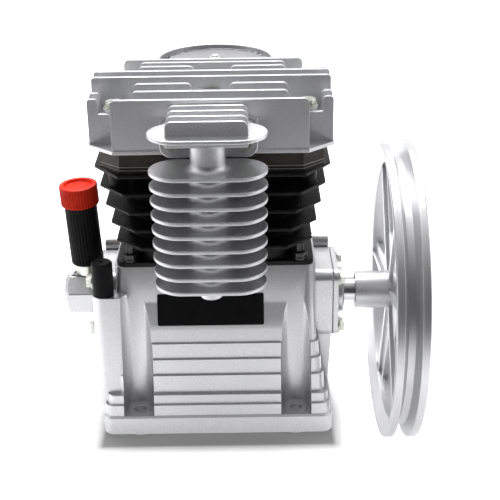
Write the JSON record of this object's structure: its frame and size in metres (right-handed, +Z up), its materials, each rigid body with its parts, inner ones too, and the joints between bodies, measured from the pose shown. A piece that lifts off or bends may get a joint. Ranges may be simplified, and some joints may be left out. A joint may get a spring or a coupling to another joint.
{
  "type": "air compressor pump head",
  "caption": "Belt-driven piston compressor pump with finned cylinders and head, finned aftercooler, air filter, oil filler and a spoked V-groove flywheel.",
  "frame": {"origin": "middle of the four mounting holes, on the plane of the base pads", "axes": "+X along the crankshaft towards the flywheel, -Y the front with the aftercooler, +Z up"},
  "size_m": [0.3458, 0.349, 0.37],
  "materials": {
    "cast_aluminium": "sand and die cast, satin",
    "machined_aluminium": "turned bright",
    "black_cast_iron": "black paint, semi-gloss",
    "plate_steel": "dark brown-black plate",
    "zinc_steel": "zinc plated",
    "dark_steel": "plain steel",
    "bearing_steel": "ground and polished",
    "black_plastic": "matt black",
    "black_label": "bare black label stock",
    "red_plastic": "moulded red, slight gloss",
    "gasket_fibre": "gasket sheet",
    "seal_rubber": "oil-resistant rubber",
    "sight_glass": "clear",
    "filter_foam": "open foam"
  },
  "bodies": {
    "pump": {"crankcase": "cast_aluminium", "name_plate": "black_label", "vent_cap": "black_plastic", "drain_plug": "dark_steel", "oil_sight_glass": "sight_glass", "end_plugs": "dark_steel", "plain_end_cover": "cast_aluminium", "plain_end_gasket": "gasket_fibre", "plain_end_bolts": "zinc_steel", "filler_collar": "zinc_steel", "filler_tube": "black_plastic", "drive_end_cover": "cast_aluminium", "drive_end_gasket": "gasket_fibre", "drive_end_bolts": "zinc_steel", "shaft_seal": "seal_rubber", "drive_bearing": "bearing_steel", "plain_bearing": "bearing_steel", "left_piston": "machined_aluminium", "right_piston": "machined_aluminium", "left_rings": "dark_steel", "right_rings": "dark_steel", "cylinder_block": "black_cast_iron", "base_gasket": "seal_rubber", "base_studs": "dark_steel", "base_nuts": "dark_steel", "cylinder_gasket": "gasket_fibre", "lower_valve_plate": "plate_steel", "valve_reeds": "bearing_steel", "plate_gasket": "gasket_fibre", "upper_valve_plate": "plate_steel", "head_gasket": "gasket_fibre", "cylinder_head": "cast_aluminium", "head_bolts": "zinc_steel", "aftercooler": "cast_aluminium", "aftercooler_gasket": "gasket_fibre", "aftercooler_bolts": "zinc_steel", "intake_gasket": "gasket_fibre", "intake_bolts": "zinc_steel", "filter_base": "cast_aluminium", "filter_element": "filter_foam", "filter_cover": "cast_aluminium", "filter_nut": "zinc_steel"},
    "drive": {"crankshaft": "bearing_steel", "shaft_key": "dark_steel", "flywheel": "machined_aluminium", "flywheel_washer": "zinc_steel", "flywheel_bolt": "zinc_steel"},
    "left_connecting_rod": {"left_rod": "cast_aluminium", "left_rod_cap": "cast_aluminium", "left_rod_bolts": "dark_steel", "left_gudgeon_pin": "bearing_steel"},
    "right_connecting_rod": {"right_rod": "cast_aluminium", "right_rod_cap": "cast_aluminium", "right_rod_bolts": "dark_steel", "right_gudgeon_pin": "bearing_steel"},
    "filler_cap": {"oil_cap": "red_plastic"}
  },
  "joints": [
    {"name": "crank_spin", "type": "hinge", "parent": "pump", "child": "drive", "pos_m": [0, 0, 0.119], "axis": [1, 0, 0], "continuous": true},
    {"name": "left_rod_turn", "type": "hinge", "parent": "drive", "child": "left_connecting_rod", "pos_m": [-0.044, 0, 0.139], "axis": [1, 0, 0], "continuous": true},
    {"name": "right_rod_turn", "type": "hinge", "parent": "drive", "child": "right_connecting_rod", "pos_m": [0.044, 0, 0.139], "axis": [1, 0, 0], "continuous": true},
    {"name": "oil_cap_lift", "type": "slide", "parent": "pump", "child": "filler_cap", "axis": [-0.0314, 0, 0.9995], "range_m": [0, 0.03]}
  ],
  "couplings": [
    {"joint": "left_rod_turn", "follows": "crank_spin", "ratio": -1},
    {"joint": "right_rod_turn", "follows": "crank_spin", "ratio": -1}
  ]
}
